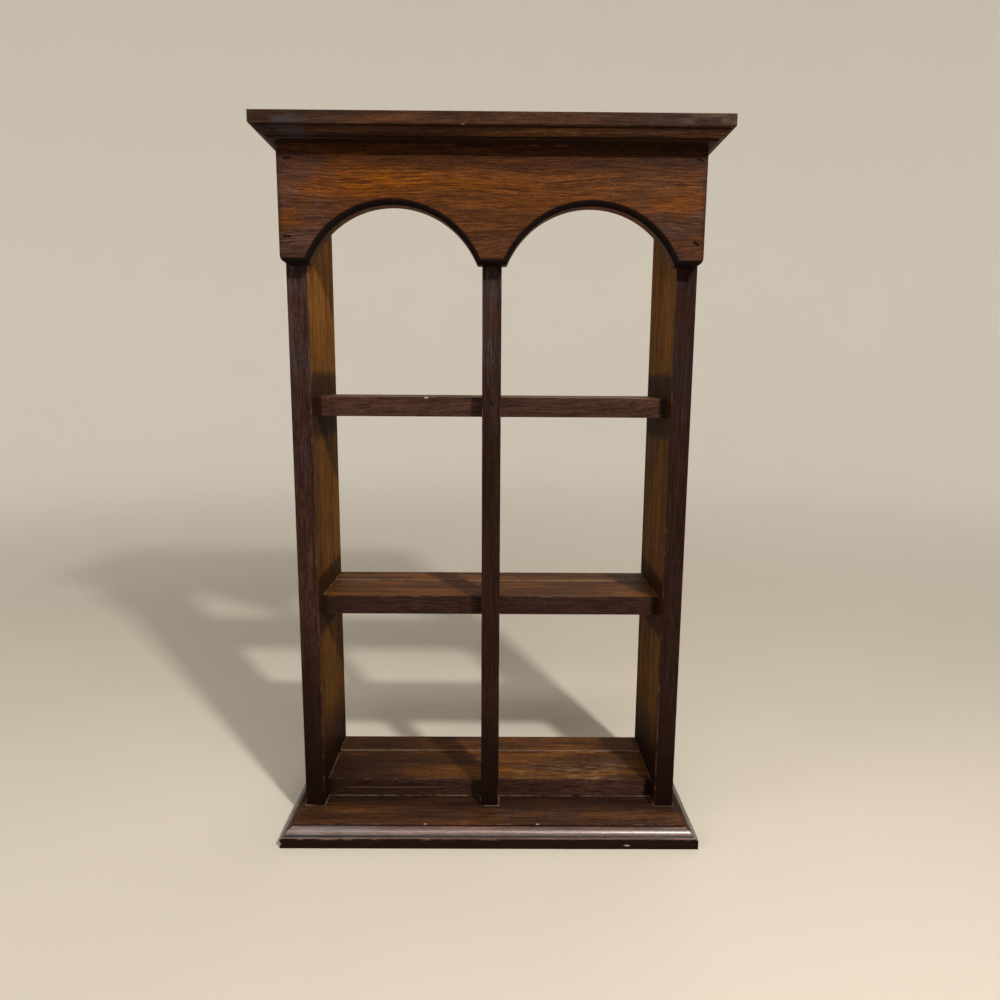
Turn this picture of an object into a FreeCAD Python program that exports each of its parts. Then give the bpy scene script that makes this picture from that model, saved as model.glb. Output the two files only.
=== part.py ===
# Open-backed wall curio shelf: two sides, three grooved shelves, a centre stile at the
# front, a valance with two arches, and a moulded base and cornice.
# Millimetres. The origin is on the floor under the middle, the front faces -Y, +Z is up.
import FreeCAD, Part
import math
import os

Vector = FreeCAD.Vector

# Case: the sides stand between the base and the cornice, the shelves between the sides
case_width = 381.0
side_thickness = 19.0
side_depth = 114.0
side_height = 642.0
shelf_thickness = 19.0
bay_height = 182.0
stile_width = 18.0
stile_depth = 19.0
arris_radius = 0.8

# Plate groove along the top of each shelf
groove_width = 6.4
groove_depth = 3.0
groove_from_back = 36.0

# Valance with two arches that stand on two feet and a middle tongue
valance_thickness = 19.0
valance_height = 101.0
arch_rise = 51.0
foot_width = 24.8
tongue_width = 26.6
arch_roundover = 6.0
foot_corner_radius = 6.0

# Base and cornice: one board each, the same moulding on the front and both ends
base_thickness = 19.0
cornice_thickness = 19.0
end_overhang = 16.0
front_overhang = 45.0
moulding_ledge = 4.0
ovolo_width = 8.0
ovolo_height = 6.5
quirk_height = 2.0
moulding_arris = 1.0

# Narrow-crown staples, driven a little below the surface
staple_crown = 6.3
staple_wire = 1.2
staple_length = 30.0
staple_sink = 1.0

# Valance staples, driven by hand: distance from the end, from the nearer long edge, and tilt
valance_staples = {
    "upper_left": (9.7, 12.1, 0.0),
    "lower_left": (7.0, 22.7, 0.0),
    "upper_right": (7.3, 11.3, -14.0),
    "lower_right": (7.1, 18.5, -29.0),
}

# Where the other staples are driven
stile_staple_tilt = -52.0
stile_staple_rise = 4.5
side_staple_inset = 22.0
board_staple_inset = 24.0
shelf_staple_inset = 90.0
valance_top_staple_inset = 70.0

# Keyhole hangers let flush into the back edges of the sides
hanger_width = 14.0
hanger_height = 50.0
hanger_thickness = 1.5
hanger_from_top = 60.0
keyhole_radius = 4.5
keyhole_slot_width = 4.6
keyhole_slot_rise = 13.0
pocket_margin = 1.0
pocket_depth = 9.0
screw_length = 13.0
screw_shank_radius = 1.4
screw_head_radius = 2.7
screw_end_distance = 5.5

# Levels and planes that follow from the sizes above
side_bottom = base_thickness
side_top = side_bottom + side_height
total_height = side_top + cornice_thickness
board_length = case_width + 2 * end_overhang
board_depth = front_overhang + side_depth
back_plane = board_depth / 2
front_plane = back_plane - side_depth
shelf_front = front_plane + stile_depth
board_front = -board_depth / 2
valance_front = front_plane - valance_thickness
valance_bottom = side_top - valance_height
inner_half_width = case_width / 2 - side_thickness
side_middle_x = case_width / 2 - side_thickness / 2
hanger_middle = side_top - hanger_from_top
keyhole_middle = hanger_middle - keyhole_slot_rise / 2
shelf_pitch = bay_height + shelf_thickness
shelf_bottoms = {
    "bottom_shelf": side_bottom,
    "middle_shelf": side_bottom + shelf_pitch,
    "top_shelf": side_bottom + 2 * shelf_pitch,
}


def block(low, high):
    """A box between two opposite corners."""
    size = Vector(*high) - Vector(*low)
    return Part.makeBox(size.x, size.y, size.z, Vector(*low))


def face_of(edges):
    """A flat face bounded by edges that follow one another."""
    return Part.Face(Part.Wire(edges))


def line(start, end):
    return Part.LineSegment(start, end).toShape()


def arc(start, middle, end):
    return Part.Arc(start, middle, end).toShape()


def ease(shape, radius, is_wanted):
    """Round over the edges that the test picks."""
    return shape.makeFillet(radius, [edge for edge in shape.Edges if is_wanted(edge)])


def lies_at(value, target):
    return abs(value - target) < 1e-6


def make_side(sign):
    """One upright board, its two front arrises eased."""
    inner = sign * inner_half_width
    outer = sign * case_width / 2
    low = (min(inner, outer), front_plane, side_bottom)
    high = (max(inner, outer), back_plane, side_top)

    def is_front_arris(edge):
        box = edge.BoundBox
        return lies_at(box.YMin, front_plane) and lies_at(box.YMax, front_plane) and box.ZLength > side_depth

    return ease(block(low, high), arris_radius, is_front_arris)


def make_stile():
    """The narrow upright strip in front of the shelves."""
    low = (-stile_width / 2, front_plane, side_bottom)
    high = (stile_width / 2, shelf_front, side_top)

    def is_front_arris(edge):
        box = edge.BoundBox
        return lies_at(box.YMax, front_plane) and box.ZLength > stile_width

    return ease(block(low, high), arris_radius, is_front_arris)


def make_shelf(bottom):
    """A board between the sides with a round-bottomed plate groove along its top."""
    top = bottom + shelf_thickness
    board = block((-inner_half_width, shelf_front, bottom), (inner_half_width, back_plane, top))

    def is_front_arris(edge):
        box = edge.BoundBox
        return lies_at(box.YMax, shelf_front) and box.XLength > shelf_thickness

    board = ease(board, arris_radius, is_front_arris)
    cutter_radius = (groove_width ** 2 / 4 + groove_depth ** 2) / (2 * groove_depth)
    cutter_middle = Vector(-inner_half_width, back_plane - groove_from_back, top - groove_depth + cutter_radius)
    return board.cut(Part.makeCylinder(cutter_radius, 2 * inner_half_width, cutter_middle, Vector(1, 0, 0)))


def valance_outline():
    """The valance seen from the front: a straight top, two arches and three flat feet."""
    half = case_width / 2
    foot_inner = half - foot_width
    tongue_half = tongue_width / 2
    arch_middle = (foot_inner + tongue_half) / 2
    crown = valance_bottom + arch_rise

    def at(x, z):
        return Vector(x, valance_front, z)

    return [
        line(at(-half, side_top), at(half, side_top)),
        line(at(half, side_top), at(half, valance_bottom)),
        line(at(half, valance_bottom), at(foot_inner, valance_bottom)),
        arc(at(foot_inner, valance_bottom), at(arch_middle, crown), at(tongue_half, valance_bottom)),
        line(at(tongue_half, valance_bottom), at(-tongue_half, valance_bottom)),
        arc(at(-tongue_half, valance_bottom), at(-arch_middle, crown), at(-foot_inner, valance_bottom)),
        line(at(-foot_inner, valance_bottom), at(-half, valance_bottom)),
        line(at(-half, valance_bottom), at(-half, side_top)),
    ]


def foot_corner_cutter(sign):
    """What is taken off an outer foot to round its corner."""
    corner = Vector(sign * case_width / 2, valance_front, valance_bottom)
    middle = corner + Vector(-sign * foot_corner_radius, 0, foot_corner_radius)
    low = (min(corner.x, middle.x), valance_front, corner.z)
    high = (max(corner.x, middle.x), front_plane, middle.z)
    rod = Part.makeCylinder(foot_corner_radius, valance_thickness, middle, Vector(0, 1, 0))
    return block(low, high).cut(rod)


def make_valance():
    """The arched board, its arches and feet rounded over on the front."""
    board = face_of(valance_outline()).extrude(Vector(0, valance_thickness, 0))

    def is_routed_edge(edge):
        box = edge.BoundBox
        is_on_front = lies_at(box.YMin, valance_front) and lies_at(box.YMax, valance_front)
        return is_on_front and lies_at(box.ZMin, valance_bottom) and box.ZMax < side_top - arris_radius

    board = ease(board, arch_roundover, is_routed_edge)
    return board.cut([foot_corner_cutter(-1), foot_corner_cutter(1)])


def moulding_section(thickness, place):
    """Section of a moulded board: a fillet, a ledge, an ovolo that ends level, and a quirk.

    place(inset, height) gives the point that lies inset from the outermost face and height
    above the wide face. The first and last points lie in the middle of the board.
    """
    middle = board_length / 2
    ovolo_top = thickness - quirk_height
    ledge_height = ovolo_top - ovolo_height
    ovolo_inset = moulding_ledge + ovolo_width
    half_turn = math.atan2(ovolo_height, ovolo_width)
    ovolo_radius = ovolo_width / math.sin(2 * half_turn)
    ovolo_middle = place(ovolo_inset - ovolo_radius * math.sin(half_turn),
                         ovolo_top - ovolo_radius * (1 - math.cos(half_turn)))
    arris_bend = moulding_arris * (1 - math.sqrt(0.5))
    return [
        line(place(middle, 0), place(0, 0)),
        line(place(0, 0), place(0, ledge_height - moulding_arris)),
        arc(place(0, ledge_height - moulding_arris),
            place(arris_bend, ledge_height - arris_bend),
            place(moulding_arris, ledge_height)),
        line(place(moulding_arris, ledge_height), place(moulding_ledge, ledge_height)),
        arc(place(moulding_ledge, ledge_height), ovolo_middle, place(ovolo_inset, ovolo_top)),
        line(place(ovolo_inset, ovolo_top), place(ovolo_inset, thickness)),
        line(place(ovolo_inset, thickness), place(middle, thickness)),
        line(place(middle, thickness), place(middle, 0)),
    ]


def make_moulded_board(thickness, wide_face, direction):
    """A board moulded on its front and both ends, with mitred corners.

    wide_face is the level of its wide face, and direction says if it narrows up or down.
    """
    half = board_length / 2

    def on_front(inset, height):
        return Vector(-half, board_front + inset, wide_face + direction * height)

    def on_left_end(inset, height):
        return Vector(inset - half, board_front, wide_face + direction * height)

    def on_right_end(inset, height):
        return Vector(half - inset, board_front, wide_face + direction * height)

    front = face_of(moulding_section(thickness, on_front)).extrude(Vector(board_length, 0, 0))
    left_end = face_of(moulding_section(thickness, on_left_end)).extrude(Vector(0, board_depth, 0))
    right_end = face_of(moulding_section(thickness, on_right_end)).extrude(Vector(0, board_depth, 0))
    return front.common(left_end.fuse(right_end).removeSplitter())


def staple_placement(crown_middle, drive, turn):
    """Where a staple goes: its crown's middle, the way it is driven, and its turn about that."""
    aim = FreeCAD.Rotation(Vector(0, 0, -1), drive)
    spin = FreeCAD.Rotation(Vector(0, 0, 1), turn)
    return FreeCAD.Placement(crown_middle, aim.multiply(spin))


def make_staple(placement):
    """A U of flat wire, its crown just under the surface."""
    half_crown = staple_crown / 2
    half_wire = staple_wire / 2
    crown_top = -staple_sink
    crown_bottom = crown_top - staple_wire
    leg_end = crown_top - staple_length
    crown = block((-half_crown, -half_wire, crown_bottom), (half_crown, half_wire, crown_top))
    left_leg = block((-half_crown, -half_wire, leg_end), (staple_wire - half_crown, half_wire, crown_bottom))
    right_leg = block((half_crown - staple_wire, -half_wire, leg_end), (half_crown, half_wire, crown_bottom))
    staple = crown.fuse([left_leg, right_leg]).removeSplitter()
    staple.Placement = placement
    return staple


def make_staple_mark(placement):
    """The slit that the sunk crown leaves in the surface."""
    half_crown = staple_crown / 2
    half_wire = staple_wire / 2
    slit = block((-half_crown, -half_wire, -staple_sink), (half_crown, half_wire, 0))
    slit.Placement = placement
    return slit


def valance_staple_places():
    """One staple in each corner of the valance, through it into the side behind."""
    drive = Vector(0, 1, 0)
    places = []
    for corner, (from_end, from_edge, tilt) in valance_staples.items():
        level, hand = corner.split("_")
        x = case_width / 2 - from_end
        z = side_top - from_edge
        if hand == "left":
            x = -x
        if level == "lower":
            z = valance_bottom + from_edge
        places.append(staple_placement(Vector(x, valance_front, z), drive, tilt))
    return places


def stile_staple_places():
    """One slanting staple through the stile into the front of the top shelf."""
    z = shelf_bottoms["top_shelf"] + shelf_thickness / 2 + stile_staple_rise
    return [staple_placement(Vector(0, front_plane, z), Vector(0, 1, 0), stile_staple_tilt)]


def side_staple_places(sign):
    """Two staples through a side into the end of each shelf."""
    places = []
    for bottom in shelf_bottoms.values():
        for y in (shelf_front + side_staple_inset, back_plane - side_staple_inset):
            middle = Vector(sign * case_width / 2, y, bottom + shelf_thickness / 2)
            places.append(staple_placement(middle, Vector(-sign, 0, 0), 90.0))
    return places


def upright_staple_places(level, drive):
    """Staples through a moulded board into the ends of both sides and of the stile."""
    places = []
    for x in (-side_middle_x, side_middle_x):
        for y in (front_plane + board_staple_inset, back_plane - board_staple_inset):
            places.append(staple_placement(Vector(x, y, level), drive, 90.0))
    stile_middle = Vector(0, front_plane + stile_depth / 2, level)
    places.append(staple_placement(stile_middle, drive, 0.0))
    return places


def base_staple_places():
    """Staples from below, with two more into the bottom shelf."""
    drive = Vector(0, 0, 1)
    places = upright_staple_places(0.0, drive)
    shelf_middle = (shelf_front + back_plane) / 2
    for sign in (-1, 1):
        middle = Vector(sign * (inner_half_width - shelf_staple_inset), shelf_middle, 0)
        places.append(staple_placement(middle, drive, 0.0))
    return places


def cornice_staple_places():
    """Staples from above, with three more into the top of the valance."""
    drive = Vector(0, 0, -1)
    places = upright_staple_places(total_height, drive)
    row = (valance_front + front_plane) / 2
    reach = case_width / 2 - valance_top_staple_inset
    for x in (-reach, 0, reach):
        places.append(staple_placement(Vector(x, row, total_height), drive, 0.0))
    return places


def rounded_plate(x, depth_from, thickness, width, height, middle_z):
    """An upright plate with round ends, its back face at depth_from."""
    radius = width / 2
    reach = height / 2 - radius
    start = depth_from - thickness
    web = block((x - radius, start, middle_z - reach), (x + radius, depth_from, middle_z + reach))
    ends = []
    for z in (middle_z - reach, middle_z + reach):
        ends.append(Part.makeCylinder(radius, thickness, Vector(x, start, z), Vector(0, 1, 0)))
    return web.fuse(ends).removeSplitter()


def screw_levels():
    reach = hanger_height / 2 - screw_end_distance
    return (hanger_middle - reach, hanger_middle + reach)


def make_screw(x, z):
    """A small countersunk screw, its head flush with the plate."""
    inward = Vector(0, -1, 0)
    mouth = Vector(x, back_plane, z)
    head = Part.makeCone(screw_head_radius, screw_shank_radius, hanger_thickness, mouth, inward)
    shank_start = mouth + inward * hanger_thickness
    shank = Part.makeCylinder(screw_shank_radius, screw_length - hanger_thickness, shank_start, inward)
    return head.fuse(shank).removeSplitter()


def make_hanger(x, screws):
    """A keyhole plate: a round mouth below and a narrow slot above it."""
    plate = rounded_plate(x, back_plane, hanger_thickness, hanger_width, hanger_height, hanger_middle)
    mouth = Part.makeCylinder(keyhole_radius, hanger_thickness,
                              Vector(x, back_plane - hanger_thickness, keyhole_middle), Vector(0, 1, 0))
    slot_height = keyhole_slot_rise + keyhole_slot_width
    slot = rounded_plate(x, back_plane, hanger_thickness, keyhole_slot_width, slot_height,
                         keyhole_middle + keyhole_slot_rise / 2)
    return plate.cut([mouth, slot] + screws)


def hanger_recess(x):
    """The seat of the plate, and the pocket behind it for a screw's head."""
    seat = rounded_plate(x, back_plane, hanger_thickness, hanger_width, hanger_height, hanger_middle)
    pocket_width = 2 * (keyhole_radius + pocket_margin)
    pocket_height = keyhole_slot_rise + pocket_width
    pocket = rounded_plate(x, back_plane - hanger_thickness, pocket_depth, pocket_width, pocket_height,
                           keyhole_middle + keyhole_slot_rise / 2)
    return seat.fuse(pocket)


def build_parts():
    """Every node's shape by its name."""
    boards = {
        "left_side": make_side(-1),
        "right_side": make_side(1),
        "centre_stile": make_stile(),
        "arched_valance": make_valance(),
        "base_board": make_moulded_board(base_thickness, 0.0, 1),
        "cornice_board": make_moulded_board(cornice_thickness, total_height, -1),
    }
    for name, bottom in shelf_bottoms.items():
        boards[name] = make_shelf(bottom)

    staple_places = {
        "valance_staples": valance_staple_places(),
        "stile_staple": stile_staple_places(),
        "left_side_staples": side_staple_places(-1),
        "right_side_staples": side_staple_places(1),
        "base_staples": base_staple_places(),
        "cornice_staples": cornice_staple_places(),
    }
    fittings = {}
    holes = []
    for name, places in staple_places.items():
        staples = [make_staple(place) for place in places]
        fittings[name] = Part.makeCompound(staples)
        holes += staples
        holes += [make_staple_mark(place) for place in places]

    for hand, sign in (("left", -1), ("right", 1)):
        x = sign * side_middle_x
        screws = [make_screw(x, z) for z in screw_levels()]
        fittings[hand + "_hanger_screws"] = Part.makeCompound(screws)
        fittings[hand + "_keyhole_hanger"] = make_hanger(x, screws)
        holes += screws
        holes.append(hanger_recess(x))

    parts = {}
    for name, board in boards.items():
        near = [hole for hole in holes if board.BoundBox.intersect(hole.BoundBox)]
        parts[name] = board.cut(near)
    parts.update(fittings)
    return parts


os.makedirs("parts", exist_ok=True)
for node, shape in build_parts().items():
    print(node, len(shape.Solids), "solids", round(shape.Volume), "mm3", "valid" if shape.isValid() else "INVALID")
    shape.exportStep(os.path.join("parts", node + ".step"))
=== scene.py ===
# Looks of an open-backed wall curio shelf in dark stained wood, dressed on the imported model.
# Metres, +Z up, the front faces -Y. Textures are written in millimetres.
import math
from collections import namedtuple

import bmesh
import bpy
from mathutils import Matrix, Vector, noise
from mathutils.bvhtree import BVHTree


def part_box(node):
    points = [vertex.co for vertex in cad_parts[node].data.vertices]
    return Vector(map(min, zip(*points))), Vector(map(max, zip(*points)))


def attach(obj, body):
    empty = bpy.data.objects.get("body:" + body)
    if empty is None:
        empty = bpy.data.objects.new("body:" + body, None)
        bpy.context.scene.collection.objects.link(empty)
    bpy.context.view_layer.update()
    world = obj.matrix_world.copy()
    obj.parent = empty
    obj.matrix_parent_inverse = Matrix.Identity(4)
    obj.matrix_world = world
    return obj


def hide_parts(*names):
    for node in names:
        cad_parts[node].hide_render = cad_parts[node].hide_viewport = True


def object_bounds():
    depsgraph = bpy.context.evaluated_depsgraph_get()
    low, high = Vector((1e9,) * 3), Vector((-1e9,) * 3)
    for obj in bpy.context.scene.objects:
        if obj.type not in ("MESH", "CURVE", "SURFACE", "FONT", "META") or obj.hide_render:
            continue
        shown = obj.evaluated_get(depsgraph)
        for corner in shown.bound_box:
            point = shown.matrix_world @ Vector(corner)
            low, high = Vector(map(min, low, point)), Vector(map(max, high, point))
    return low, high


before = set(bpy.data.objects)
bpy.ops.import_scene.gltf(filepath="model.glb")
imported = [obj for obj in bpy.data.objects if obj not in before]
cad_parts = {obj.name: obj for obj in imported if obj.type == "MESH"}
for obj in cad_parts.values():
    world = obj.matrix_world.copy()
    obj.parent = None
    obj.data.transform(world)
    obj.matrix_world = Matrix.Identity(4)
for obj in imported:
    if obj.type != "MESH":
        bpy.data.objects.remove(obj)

cad_low, cad_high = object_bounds()
MM = 0.001
WELD = 0.001 * MM

# Camera, fitted to the edges of the shelf in the photograph
IMAGE_PIXELS = 1000
FOCAL_PIXELS = 746.2
SENSOR_WIDTH = 36.0
CAMERA_PLACE = Vector((0.0042, -0.7506, 0.4590))
CAMERA_PITCH = math.radians(-9.302)
CAMERA_YAW = math.radians(0.363)
CAMERA_ROLL = math.radians(0.372)
NEAREST_SEEN = 0.01

# Round studio: a floor that curves up into a wall
STAGE_RADIUS = 3.2
STAGE_COVE = 0.9
STAGE_HEIGHT = 6.0
STAGE_COLOUR = (0.76, 0.71, 0.63)
STAGE_LIFT = 0.42
STAGE_LIFT_FROM_TO = (500.0, 2900.0)

# Lamps: place, width and height in metres, watts and colour; all aim at the middle of the shelf
Lamp = namedtuple("Lamp", "place width height watts colour")
LAMPS = {
    "key_lamp": Lamp((0.65, -1.15, 1.41), 0.10, 0.10, 24, (1.0, 0.93, 0.84)),
    "ceiling_strip": Lamp((0.15, -1.00, 1.50), 1.50, 0.30, 8, (1.0, 0.96, 0.9)),
    "left_fill": Lamp((-1.60, -0.75, 0.95), 0.90, 1.20, 9, (1.0, 0.95, 0.87)),
    "back_lamp": Lamp((0.60, 1.50, 1.70), 1.20, 1.20, 6, (1.0, 0.96, 0.9)),
}
WORLD_COLOUR = (1.0, 0.96, 0.9)
WORLD_STRENGTH = 0.12
SKY_STRENGTH = 0.50

# Sizes of the solids that the textures follow
LEDGE_HEIGHT = 10.5
LEDGE_INSET = 4.0
OVOLO_TOP = 17.0
BROW_INSET = 12.0
BROW_HEIGHT = 19.0
ARCH_MIDDLE = 89.5
ARCH_LEVEL = 528.57
ARCH_RADIUS = 82.43
ROUNDOVER = 6.0
GROOVE_FROM_BACK = 36.0
GROOVE_HALF_WIDTH = 3.2

# Finishes: heavy, middle and light stain tones, and the lacquer's roughness and gloss; the uprights' golden
# light tone is mostly a painted reflection on the sides' inner faces
Finish = namedtuple("Finish", "thick middle thin roughness gloss")
FINISHES = {
    "upright_wood": Finish((0.009, 0.004, 0.003), (0.100, 0.048, 0.036), (0.620, 0.245, 0.022), 0.55, 0.01),
    "shelf_wood": Finish((0.010, 0.005, 0.004), (0.165, 0.060, 0.019), (0.330, 0.122, 0.022), 0.50, 0.03),
    "valance_wood": Finish((0.006, 0.004, 0.004), (0.172, 0.059, 0.015), (0.250, 0.072, 0.004), 0.52, 0.03),
    "moulding_wood": Finish((0.010, 0.005, 0.004), (0.148, 0.063, 0.030), (0.225, 0.093, 0.034), 0.48, 0.03),
}
# The ovolo's and ledge's pale tones are a painted highlight on top of their real gloss
OVOLO_PAINTED_SHEEN = Finish((0.050, 0.029, 0.025), (0.250, 0.150, 0.122), (0.500, 0.280, 0.210), 0.30, 1.0)
HAZE = (0.100, 0.067, 0.069)
WORN_WOOD = (0.23, 0.13, 0.085)
SCUFF = (0.24, 0.19, 0.165)
# Painted cool reflection on the left end of the cornice's front
COOL_REFLECTION = (0.050, 0.047, 0.058)
# Painted cool reflection on the left end of the base's ovolo
OVOLO_COOL_REFLECTION = (0.190, 0.180, 0.210)
BARE_WOOD = (0.44, 0.33, 0.24)
PALE_FLECK = (0.34, 0.21, 0.10)
# Dust colour, also used for the painted highlight along the lip of each shelf's groove
DUST_AND_LIP_HIGHLIGHT = (0.30, 0.26, 0.22)
# Near-black: stain on the staple wire, the slits and rims at the staples, and painted shade in the base's
# ledge corner
BLACK_STAIN_AND_SHADE = (0.004, 0.003, 0.003)
DRIED_STAIN = (0.010, 0.006, 0.005)
STAPLE_STEEL = (0.014, 0.011, 0.010)

# Dull and bright tones of the zinc on the hangers and on their screws
PLATE_ZINC = ((0.46, 0.44, 0.39), (0.66, 0.65, 0.61))
SCREW_ZINC = ((0.20, 0.17, 0.12), (0.34, 0.30, 0.22))

# Boards with staples in their front face
FRONT_STAPLES = {"arched_valance": "valance_staples", "centre_stile": "stile_staple"}

# Size of the grain's waves along, across and through a board, and how far they wander across it
GRAIN_WAVE = (170.0, 60.0, 60.0)
GRAIN_WANDER = 20.0

# Depths under the top of an upright between which painted shade darkens it
DOWN_FADE = (100.0, 290.0)

# Patterns: the size of the noise's cells each way, its detail and roughness, and where it turns on
Pattern = namedtuple("Pattern", "cell detail roughness off on")
PATTERNS = {
    "broad_streaks": Pattern((220, 9, 9), 2.0, 0.55, 0.64, 0.36),
    "streaks": Pattern((36, 1.5, 1.5), 3.0, 0.60, 0.66, 0.34),
    "threads": Pattern((9, 0.7, 0.7), 2.0, 0.55, 0.64, 0.36),
    "mottle": Pattern((2.4, 1.1, 1.1), 1.0, 0.55, 0.66, 0.34),
    "pores": Pattern((7, 0.5, 0.5), 2.0, 0.55, 0.58, 0.70),
    "wiped_patches": Pattern((130, 24, 24), 2.5, 0.55, 0.66, 0.86),
    "lacquer_clouds": Pattern((60, 45, 45), 2.0, 0.55, 0.70, 0.90),
    "plain_rubbing": Pattern((22, 22, 22), 4.0, 0.70, 0.50, 0.70),
    "moulding_rubbing": Pattern((26, 26, 26), 5.0, 0.75, 0.55, 0.68),
    "dashes": Pattern((20, 1.3, 1.3), 1.0, 0.55, 0.55, 0.63),
    "scuffs": Pattern((18, 6, 5), 4.0, 0.70, 0.40, 0.70),
    "cornice_cool_reflection": Pattern((26, 12, 8), 2.0, 0.50, 0.36, 0.62),
    "ovolo_cool_reflection": Pattern((30, 12, 12), 2.0, 0.55, 0.30, 0.60),
    "base_dust": Pattern((17, 17, 17), 3.0, 0.55, 0.36, 0.62),
    "shelf_dust_and_lip_highlight": Pattern((13, 13, 13), 3.0, 0.55, 0.34, 0.60),
    "base_specks": Pattern((2.2, 2.2, 2.2), 1.0, 0.55, 0.81, 0.83),
    "upright_specks": Pattern((2.0, 2.0, 2.0), 1.0, 0.55, 0.83, 0.85),
    "other_specks": Pattern((1.8, 1.8, 1.8), 1.0, 0.55, 0.84, 0.86),
    "bare_fibres": Pattern((5, 0.6, 0.6), 3.0, 0.55, 0.30, 0.70),
    "steel_stain": Pattern((3, 3, 3), 3.0, 0.55, 0.35, 0.60),
}

# How far the patches and clouds are lifted to cover a whole board
LIFT_AT_FULL_COVER = 0.4

# How much each dark pattern of the grain shows
FIGURE = {"broad_streaks": 0.36, "streaks": 0.62, "threads": 0.52, "mottle": 0.30}

# How a board was stained, and where light and shade are painted on it: where the stain is light, with painted
# reflections; where it is heavy, with painted shade; and where the lacquer is clouded
Stain = namedtuple("Stain", "thin thick haze")

# Boards: finish, axes along, across and through the board, the tree's heart across and through it, its seed,
# and the share of heavy stain on the front edge (painted shade on the base's fillet), and at a lying board's
# left end heavy stain, or down an upright painted shade
Board = namedtuple("Board", "finish axes heart seed edge shade")
BOARDS = {
    "left_side": Board("upright_wood", "ZYX", (30.0, -260.0), 11, 0.0, 0.22),
    "right_side": Board("upright_wood", "ZYX", (-40.0, 260.0), 23, 0.64, 0.38),
    "centre_stile": Board("upright_wood", "ZXY", (60.0, 45.0), 37, 0.32, 0.66),
    "top_shelf": Board("shelf_wood", "XYZ", (40.0, 370.0), 41, 0.28, 0.0),
    "middle_shelf": Board("shelf_wood", "XYZ", (-30.0, 160.0), 53, 0.62, 0.0),
    "bottom_shelf": Board("shelf_wood", "XYZ", (25.0, -45.0), 67, 0.20, 0.65),
    "arched_valance": Board("valance_wood", "XZY", (585.0, 10.0), 71, 0.0, 0.0),
    "base_board": Board("moulding_wood", "XYZ", (-20.0, -60.0), 83, 0.94, 0.0),
    "cornice_board": Board("moulding_wood", "XYZ", (30.0, 740.0), 97, 0.70, 0.60),
}
SHELVES = [node for node, board in BOARDS.items() if board.finish == "shelf_wood"]

# Chips knocked out of the boards: place and half sizes in millimetres
Chip = namedtuple("Chip", "place reach")
CHIPS = {
    "base_board": [
        Chip((135.5, -79.6, 4.1), (3.0, 0.9, 0.9)),
        Chip((-64.0, -67.4, 19.1), (1.7, 0.9, 0.8)),
        Chip((48.0, -67.4, 19.1), (1.9, 0.8, 0.8)),
        Chip((-206.6, -79.6, 4.8), (1.6, 1.6, 2.0)),
        Chip((-206.2, -79.2, 10.6), (1.5, 1.5, 0.8)),
        Chip((206.4, -79.4, 10.4), (1.4, 1.6, 1.0)),
    ],
    "cornice_board": [
        Chip((-25.0, -79.5, 669.6), (1.8, 0.8, 0.6)),
    ],
    "top_shelf": [
        Chip((-63.5, -15.7, 440.2), (2.9, 1.6, 1.5)),
    ],
}


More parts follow.
